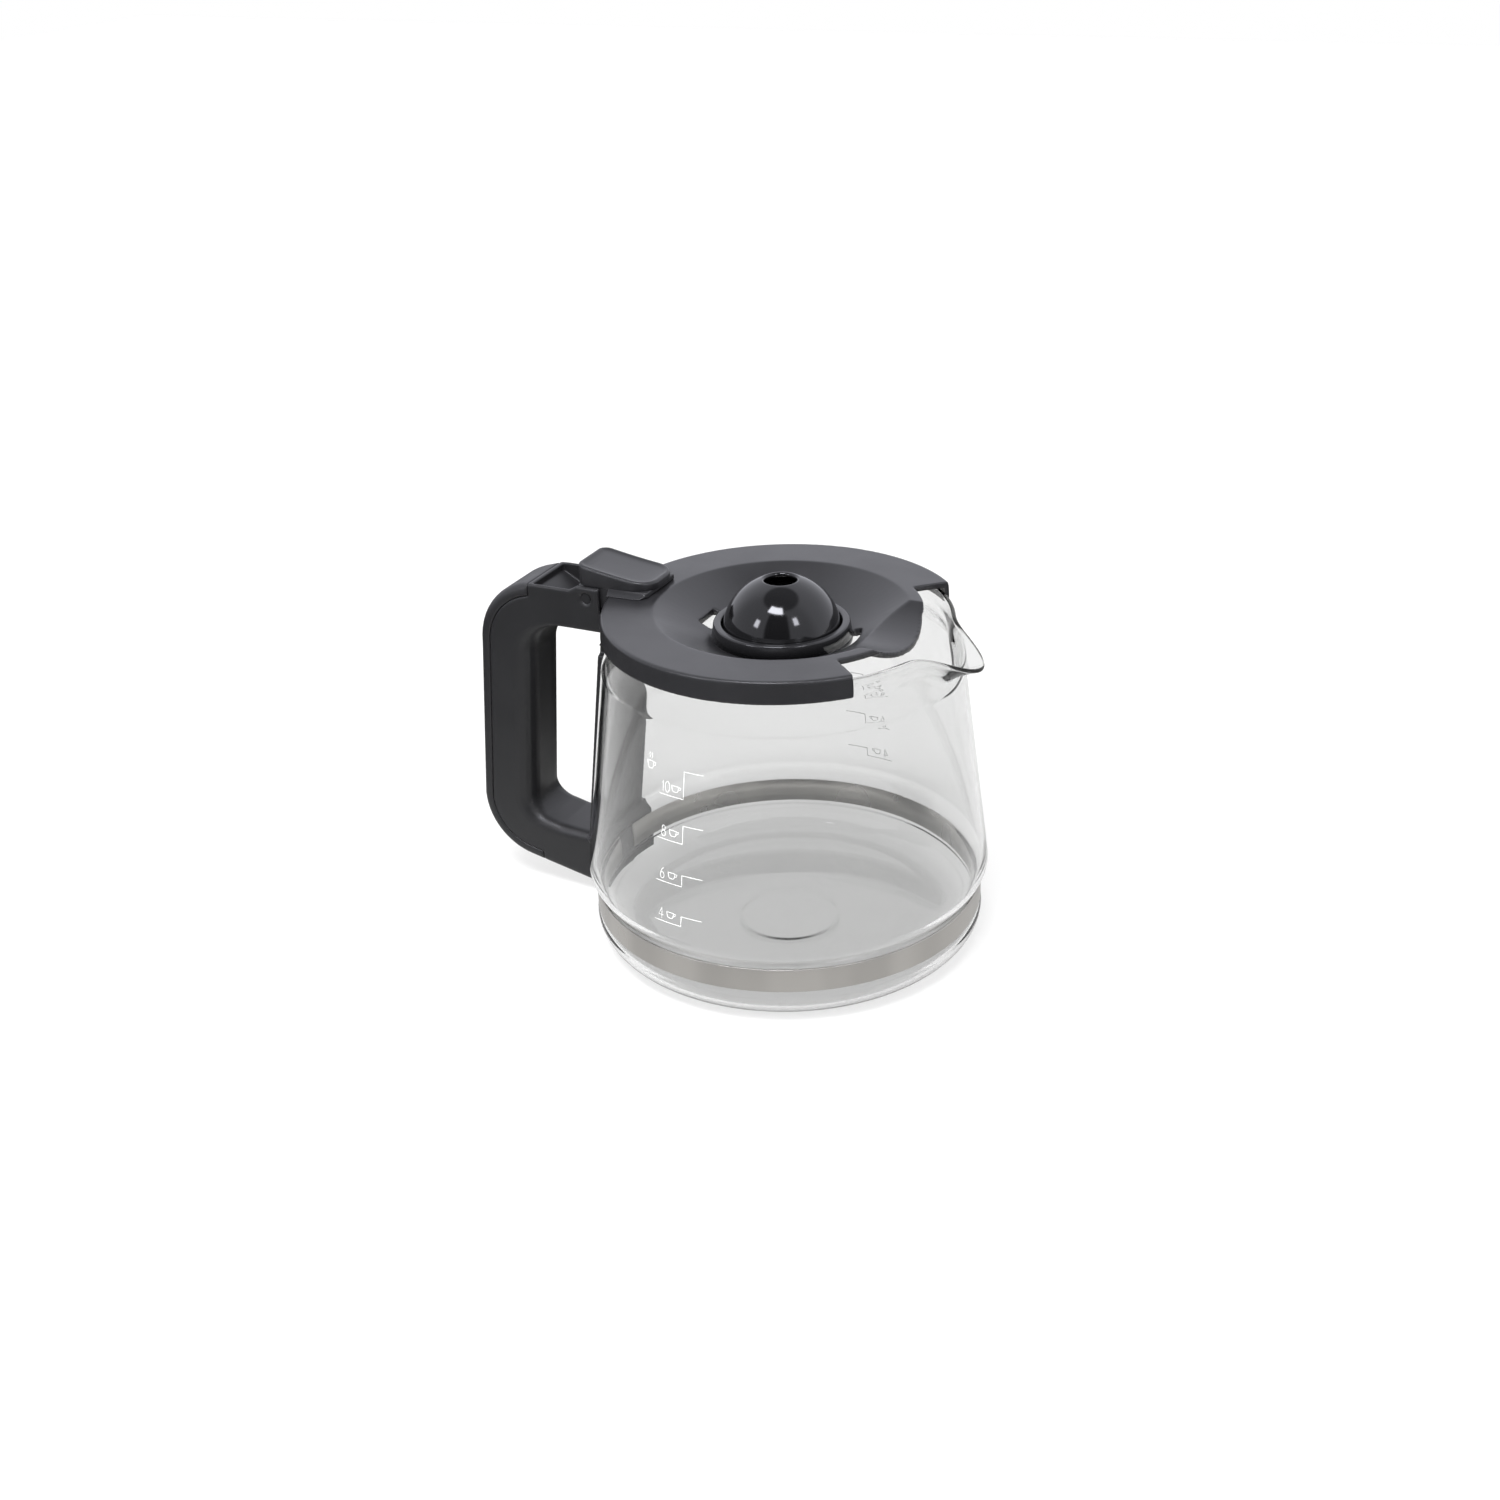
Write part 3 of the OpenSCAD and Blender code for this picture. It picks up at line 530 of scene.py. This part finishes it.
def glass_section(az):
    """Closed section of the glass at an azimuth: under the floor, up the outside and down the inside."""
    outside = [(0, 0), (floor_disc_r, 0), (foot_r / 2, 0)]
    heel_in = jug_r(heel_h) - heel_w
    outside += oval(heel_in, heel_h, heel_w, heel_h, -90, 0, 20)
    outside += [tuple(glass_at(z, az)) for z in side_zs]
    top, inward, along = glass_frame(rim_z, az)
    lip = [tuple(top + inward * (lip_wall / 2 + x) + along * y)
           for x, y in oval(0, 0, -rim_bead_r, rim_bead_r, *bead_turn, 16)]
    inside = []
    for z in reversed(side_zs):
        if z < spout_z - 2 * even_half:
            inside.append(tuple(inside_at(z, az)))
        else:
            p, inward, along = glass_frame(z, az)
            inside.append(tuple(p + inward * wall_at(z)))
    inside += oval(heel_in, heel_h, heel_w - wall, heel_h - wall, 0, -90, 16)
    inside += [(foot_r / 2, wall)]
    inside += [(floor_disc_r + floor_disc_edge * (1 - t), wall + floor_disc_h * smooth(t))
               for t in steps(0, 1, 6)]
    inside += [(floor_disc_r / 2, wall + floor_disc_h), (0, wall + floor_disc_h)]
    return [spin(r, z, az) for r, z in outside + lip + inside]


def glass_jug():
    """The jug as one skin, with close sections round the spout."""
    fine_half = spout_half + fine_past
    turns = steps(-fine_half, fine_half, 96) + steps(fine_half, 360 - fine_half, 192)[1:-1]
    return skin("jug", [glass_section(az) for az in turns], True)


# Cup marks: strokes of enamel on the outside of the glass

mark_w = 0.22
mark_t = 0.05
mark_lift = 0.012
stroke_step = 1.0

# Digits, a cup and its steam, drawn at a width and height of about 1
digits = {
    "0": [oval(0.5, 0.5, 0.5, 0.5)],
    "1": [[(0.5, 0.78), (0.75, 1), (0.75, 0)]],
    "4": [[(0.72, 0), (0.72, 1), (0, 0.3), (1, 0.3)]],
    "6": [oval(0.5, 0.3, 0.45, 0.3), [(0.08, 0.38), (0.3, 0.8), (0.72, 1)]],
    "8": [oval(0.5, 0.27, 0.45, 0.27), oval(0.5, 0.77, 0.36, 0.23)],
}
cup_lines = [
    [(0, 1), (0.06, 0.3), (0.2, 0.02), (0.62, 0.02), (0.74, 0.3), (0.8, 1), (0, 1)],
    [(0.79, 0.9), (1.04, 0.92), (1.0, 0.6), (0.77, 0.42)],
]
steam_lines = [
    [(0.25, 1.35), (0.33, 1.6), (0.22, 1.85), (0.3, 2.1)],
    [(0.55, 1.35), (0.63, 1.6), (0.52, 1.85), (0.6, 2.1)],
]

# Azimuths where the two scales start, and how far round an underline and its upper line end
scale_azs = (-104, 79.5)
line_az = 8.7
upper_az = 15
# Counts of cups, each with the heights of its underline and upper line
cup_counts = (("4", 35.4, 39.0), ("6", 49.9, 54.0), ("8", 65.2, 71.7), ("10", 81.0, 90.7))
digit_w = 1.85
digit_h = 3.8
digit_out = 1.6
digit_rise = 1.0
tens_out = 0.4
cup_out = 5.0
cup_rise = 1.8
cup_w = 3.5
cup_h = 2.1
steam_az = -108.9
steam_z = 88.4
steam_w = 3.6
steam_h = 2.6


def stroke(bm, az0, line):
    """A thin closed ribbon on the glass along points, each as mm round from azimuth az0 and height."""
    points = []
    for (u0, z0), (u1, z1) in zip(line, line[1:]):
        count = max(1, int(math.hypot(u1 - u0, z1 - z0) / stroke_step))
        points += [Vector((mix(u0, u1, i / count), mix(z0, z1, i / count))) for i in range(count)]
    points.append(Vector(line[-1]))
    last = len(points) - 1
    rings = []
    for i, p in enumerate(points):
        ahead = (points[min(i + 1, last)] - points[max(i - 1, 0)]).normalized() * mark_w / 2
        side = Vector((-ahead.y, ahead.x))
        if i == 0:
            p = p - ahead
        if i == last:
            p = p + ahead
        corners = ((p - side, mark_lift), (p + side, mark_lift),
                   (p + side, mark_lift + mark_t), (p - side, mark_lift + mark_t))
        rings.append([spin(jug_r(q.y) + lift, q.y, az0 + math.degrees(q.x / jug_r(q.y)))
                      for q, lift in corners])
    tube(bm, ring_verts(bm, rings))


def drawing(bm, az0, lines, u0, z0, width, height):
    """Lines of a unit drawing, placed at (u0, z0) and scaled to a width and height."""
    for line in lines:
        stroke(bm, az0, [(u0 + x * width, z0 + y * height) for x, y in line])


def mark_scale(bm, az0):
    """One scale: for each count of cups an underline, a riser, an upper line, the number and a cup."""
    for text, low, high in cup_counts:
        per_degree = math.radians(1) * jug_r(low)
        end, turn = line_az * per_degree, upper_az * per_degree
        for line in ([(0, low), (end, low)], [(end, low), (end, high)], [(end, high), (turn, high)]):
            stroke(bm, az0, line)
        out = tens_out if len(text) > 1 else digit_out
        for char in text:
            drawing(bm, az0, digits[char], out, low + digit_rise, digit_w, digit_h)
            out += digit_w + tens_out
        drawing(bm, az0, cup_lines, max(cup_out, out + tens_out), low + cup_rise, cup_w, cup_h)


def cup_marks():
    bm = bmesh.new()
    for az0 in scale_azs:
        mark_scale(bm, az0)
    drawing(bm, steam_az, cup_lines + steam_lines, 0, steam_z, steam_w, steam_h)
    return finish_mesh("marks", bm)


# Strap, collar and dome

def strap():
    """Steel ring, open between its two ends under the anchor block."""
    low, high = strap_low.z, strap_high.z
    inner, outer = foot_r + strap_clear, strap_high.x
    corners = [(inner, low, True), (outer, low, False), (outer, high, False), (inner, high, True)]
    outline = rounded(corners, strap_round)
    half_gap = math.degrees(strap_gap / 2 / inner)
    turns = steps(half_gap - 180, 180 - half_gap, 360)
    return skin("strap", [[spin(r, z, az) for r, z in outline] for az in turns], False)


def collar():
    """Raised ring that slopes up to the foot of the dome."""
    low, high = collar_low.z, collar_high.z
    foot, inner, top = collar_high.x, dome_high.x + collar_clear, dome_high.x + collar_top_w
    corners = [(inner, low, True), (foot, low, True), (top, high, False), (inner, high, False)]
    return lathe("collar", rounded(corners, collar_round, 8))


def dome():
    """Spherical cap with an open foot and a rounded drip hole."""
    r, centre, lip = dome_high.x, dome_low.z + dome_rise, dome_wall / 2
    lip_x = drip_hole_r + lip
    lip_at = math.degrees(math.acos(lip_x / (r - lip)))
    lip_y = centre + math.sqrt((r - lip) ** 2 - lip_x ** 2)
    outside = [(r, dome_low.z)] + arc(0, centre, r, 0, lip_at, 56)
    turn = arc(lip_x, lip_y, lip, lip_at, lip_at + 180, 14)[1:-1]
    inside = arc(0, centre, r - dome_wall, lip_at, 0, 48) + [(r - dome_wall, dome_low.z)]
    return lathe("dome", outside + turn + inside)


# Thumb pad

def pad_ring(inset, lift, sink):
    """Outline of the pad, inset by a width, lifted from the seat or sunk below the top."""
    half = pad_high.y - inset
    tip, back = pad_high.x - inset, pad_low.x + inset
    r_tip, r_back = max(pad_tip_r - inset, pad_least_r), max(pad_back_r - inset, pad_least_r)
    side = (arc(tip - r_tip, half - r_tip, r_tip, 0, 90, 16)
            + [(x, half) for x in steps(tip - r_tip, back + r_back, 8)[1:-1]]
            + arc(back + r_back, half - r_back, r_back, 90, 180, 12))
    side += [(x, -y) for x, y in reversed(side)]
    ring = []
    for x, y in side:
        t = (x - pad_low.x) / (pad_high.x - pad_low.x)
        if sink:
            z = pad_high.z + pad_crown - pad_tip_drop * (1 - (1 - t) ** pad_fall) - sink
        else:
            z = lid_top + mix(*pad_seat, t * t) + lift
        ring.append(Vector((x, y, z)))
    return ring


def thumb_pad():
    bm = bmesh.new()
    rings = ring_verts(bm, [pad_ring(*given) for given in pad_rings])
    bridge(bm, rings)
    for ring in (rings[0], rings[-1]):
        for i in range(len(ring) // 2 - 1):
            bm.faces.new((ring[i], ring[i + 1], ring[-2 - i], ring[-1 - i]))
    return finish_mesh("pad", bm)


# Moulded pieces: the solid's own mesh with its edges softened

def softened(node, voxel, passes):
    """Copy of a CAD node, remeshed finely and smoothed so that its edges are rounded."""
    mesh = frame["nodes"][node].data.copy()
    bm = bmesh.new()
    bm.from_mesh(mesh)
    bmesh.ops.remove_doubles(bm, verts=bm.verts, dist=weld_gap * MM)
    bm.to_mesh(mesh)
    bm.free()
    work = bpy.data.objects.new(node + "_work", mesh)
    scene.collection.objects.link(work)
    remesh = work.modifiers.new("remesh", "REMESH")
    remesh.mode = "VOXEL"
    remesh.voxel_size = voxel * MM
    relax = work.modifiers.new("relax", "SMOOTH")
    relax.factor = relax_share
    relax.iterations = passes
    thin = work.modifiers.new("thin", "DECIMATE")
    thin.ratio = keep_share
    made = bpy.data.meshes.new_from_object(work.evaluated_get(bpy.context.evaluated_depsgraph_get()))
    bpy.data.objects.remove(work)
    for face in made.polygons:
        face.use_smooth = True
    made.name = node + "_soft"
    return made


# Stage

def add_camera():
    data = bpy.data.cameras.new("camera")
    data.lens = camera_lens
    data.sensor_width = sensor_width
    data.clip_start = camera_near * MM
    data.clip_end = camera_far * MM
    camera = bpy.data.objects.new("camera", data)
    scene.collection.objects.link(camera)
    forward, up = Vector(camera_forward), Vector(camera_up)
    right = forward.cross(up)
    axes = Matrix((right, up, -forward)).transposed()
    camera.matrix_world = Matrix.Translation(Vector(camera_place) * MM) @ axes.to_4x4()
    scene.camera = camera


# What the world shows to gloss: a white studio, a darker room behind the camera, a grey ceiling
room_span = (-101, -49)
room_soft = 5
room_top = 55
room_level = 0.02
ceiling_el = 62
ceiling_level = 0.2
wall_level = 1.15      # the studio's level where y is wall_y and more
wall_y = 0.3
side_level = 0.8       # and where it is side_y and less
side_y = -0.2
fill_level = 0.8
gloss_tint = (0.965, 0.975, 1.06, 1)
# Soft boxes in the gloss, as azimuths, elevations and level: the key and one at each side
boxes = ((-112, -60, 56, 69, 20), (-127, -117, 23, 36, 12), (-36, -25, 31, 45, 12))
box_soft = 1.5
# Long strip over the table, seen in the clear glass only
strip = (-135, 5, 55, 68)
strip_soft = 3
strip_level = 3


def build_world():
    world = bpy.data.worlds.new("studio")
    world.use_nodes = True
    scene.world = world
    graph = Graph(world.node_tree)
    way = graph.node("ShaderNodeSeparateXYZ")
    graph.feed(way.inputs[0], graph.node("ShaderNodeTexCoord").outputs["Generated"])
    turn = graph.math("ARCTAN2", way.outputs["Y"], way.outputs["X"])
    height = graph.math("ARCSINE", way.outputs["Z"])

    def window(az_low, az_high, el_low, el_high, soft):
        """One inside a span of azimuth and elevation, nought outside."""
        return graph.math("MULTIPLY", graph.within(turn, az_low, az_high, soft),
                          graph.within(height, el_low, el_high, soft))

    below = graph.ramp(height, math.radians(room_top + room_soft), math.radians(room_top - room_soft))
    room = graph.math("MULTIPLY", graph.within(turn, *room_span, room_soft), below)
    high = graph.ramp(height, math.radians(ceiling_el - room_soft), math.radians(ceiling_el + room_soft))
    studio = graph.ramp(way.outputs["Y"], side_y, wall_y, side_level, wall_level)
    level = graph.math("MULTIPLY", graph.ramp(room, 0, 1, studio, room_level),
                       graph.ramp(high, 0, 1, 1, ceiling_level))
    for *span, bright in boxes:
        level = graph.math("ADD", level, graph.math("MULTIPLY", window(*span, box_soft), bright))
    path = graph.node("ShaderNodeLightPath")
    sharp = path.outputs["Is Singular Ray"]
    seen = graph.math("MAXIMUM", path.outputs["Is Camera Ray"],
                      graph.math("MAXIMUM", path.outputs["Is Transmission Ray"], sharp))
    gloss = graph.math("MULTIPLY", path.outputs["Is Glossy Ray"], graph.math("SUBTRACT", 1, seen))
    mirrored = graph.math("MULTIPLY", path.outputs["Is Glossy Ray"], sharp)
    shine = graph.math("MULTIPLY", window(*strip, strip_soft), strip_level)
    glint = graph.math("MULTIPLY", mirrored, shine)
    lit = graph.ramp(path.outputs["Is Diffuse Ray"], 0, 1, level, fill_level)
    plain = graph.math("MAXIMUM", seen, graph.math("MULTIPLY", lit, graph.math("SUBTRACT", 1, seen)))
    back = graph.node("ShaderNodeBackground")
    graph.feed(back.inputs["Color"], graph.blend(gloss, (1, 1, 1, 1), gloss_tint))
    graph.feed(back.inputs["Strength"], graph.math("ADD", plain, glint))
    output = graph.node("ShaderNodeOutputWorld")
    graph.feed(output.inputs["Surface"], back.outputs[0])


# Lamps: azimuth, elevation and distance from the middle of the lid, width, height, radiance
lamps = {
    "key": (-86, 62, 900, 460, 240, 22),
    "left_box": (-122, 29, 1000, 160, 240, 12),
    "right_box": (-30.5, 38, 1000, 160, 240, 12),
}


def add_lamp(name, az, el, distance, across, tall, radiance):
    """Soft box that faces the lid, seen from the middle of the lid at the given direction."""
    data = bpy.data.lights.new(name, "AREA")
    data.shape = "RECTANGLE"
    data.size = across * MM
    data.size_y = tall * MM
    data.energy = radiance * math.pi * data.size * data.size_y
    lamp = bpy.data.objects.new(name, data)
    scene.collection.objects.link(lamp)
    away = spin(math.cos(math.radians(el)), math.sin(math.radians(el)), az)
    lamp.location = (Vector((0, 0, lid_top)) + away * distance) * MM
    lamp.rotation_mode = "QUATERNION"
    lamp.rotation_quaternion = away.to_track_quat("Z", "Y")
    lamp.visible_glossy = False
    lamp.visible_transmission = False


floor_half = 2500
floor_gap = 0.05
paper_level = 0.85
floor_show = 0.7      # share of plain white in the floor as the camera sees it
floor_through = 0.76  # level of the floor as seen through the glass
floor_near = 0.7      # level of the floor in the gloss of the object, close to it
floor_far = 0.05      # the same, far from it
near_r = 130
far_r = 300
behind_near = 50      # beyond the jug the floor lies in the shade of the object, from here
behind_far = 120      # to here
behind_level = 0.05


def floor_paper():
    """Pale paper, plain white to the camera and darker in the glass and the gloss."""
    made = bpy.data.materials.new("floor_paper")
    made.use_nodes = True
    graph = Graph(made.node_tree)
    paper = graph.node("ShaderNodeBsdfDiffuse")
    graph.feed(paper.inputs["Color"], (paper_level, paper_level, paper_level, 1))
    glow = graph.node("ShaderNodeEmission")
    graph.feed(glow.inputs["Color"], (1, 1, 1, 1))
    path = graph.node("ShaderNodeLightPath")
    through = graph.math("MAXIMUM", path.outputs["Is Transmission Ray"], path.outputs["Is Singular Ray"])
    gloss = graph.math("MULTIPLY", path.outputs["Is Glossy Ray"], graph.math("SUBTRACT", 1, through))
    spot = graph.place()
    away = graph.node("ShaderNodeVectorMath", operation="LENGTH")
    graph.feed(away.inputs[0], spot)
    split = graph.node("ShaderNodeSeparateXYZ")
    graph.feed(split.inputs[0], spot)
    fade = graph.ramp(away.outputs["Value"], near_r * MM, far_r * MM, floor_near, floor_far)
    behind = graph.ramp(split.outputs["Y"], behind_near * MM, behind_far * MM, 1, behind_level)
    level = graph.ramp(through, 0, 1, 1, floor_through)
    shine = graph.math("MULTIPLY", fade, behind)
    graph.feed(glow.inputs["Strength"], graph.ramp(gloss, 0, 1, level, shine))
    plain = graph.math("MAXIMUM", path.outputs["Is Camera Ray"], through)
    shown = graph.math("MAXIMUM", graph.math("MULTIPLY", plain, floor_show), gloss)
    both = graph.node("ShaderNodeMixShader")
    graph.feed(both.inputs[0], shown)
    graph.feed(both.inputs[1], paper.outputs[0])
    graph.feed(both.inputs[2], glow.outputs[0])
    output = graph.node("ShaderNodeOutputMaterial")
    graph.feed(output.inputs["Surface"], both.outputs[0])
    return made


def add_floor():
    mesh = bpy.data.meshes.new("floor")
    bm = bmesh.new()
    bmesh.ops.create_grid(bm, x_segments=2, y_segments=2, size=floor_half * MM)
    bm.to_mesh(mesh)
    bm.free()
    floor = bpy.data.objects.new("floor", mesh)
    scene.collection.objects.link(floor)
    floor.location.z = cad_box[0].z - floor_gap * MM
    mesh.materials.append(floor_paper())


# The object

add_camera()
add_piece("jug", glass_jug(), "base", "glass", jug_glass, "glass_jug")
add_piece("cup_marks", cup_marks(), "base", "glass", mark_enamel)
add_piece("strap", strap(), "base", "steel", strap_steel, "base_band")
add_piece("collar", collar(), "lid", "dome_plastic", collar_plastic, "dome_collar")
add_piece("dome", dome(), "lid", "dome_plastic", dome_plastic, "dome_cap")
add_piece("pad", thumb_pad(), "lid", "lid_plastic", lid_plastic, "thumb_pad")
slots = {s["node"]: s["material_slot"] for s in frame["record"]["subparts"]}
bodies = {n: b for b, nodes in frame["record"]["behaviour"]["bodies"].items() for n in nodes}
finishes = {"handle_plastic": handle_plastic, "lid_plastic": lid_plastic}
for node, (voxel, passes) in moulded.items():
    shell = softened(node, voxel, passes)
    add_piece(node + "_shell", shell, bodies[node], slots[node], finishes[slots[node]], node)
for node in ("band_anchor", "clamp_screw", "neck_screw", "hinge_pin"):
    mesh = frame["nodes"][node].data
    mesh.materials.clear()
    mesh.materials.append(dark_steel)

build_world()
for name, given in lamps.items():
    add_lamp(name, *given)
add_floor()
scene.view_settings.view_transform = "Standard"
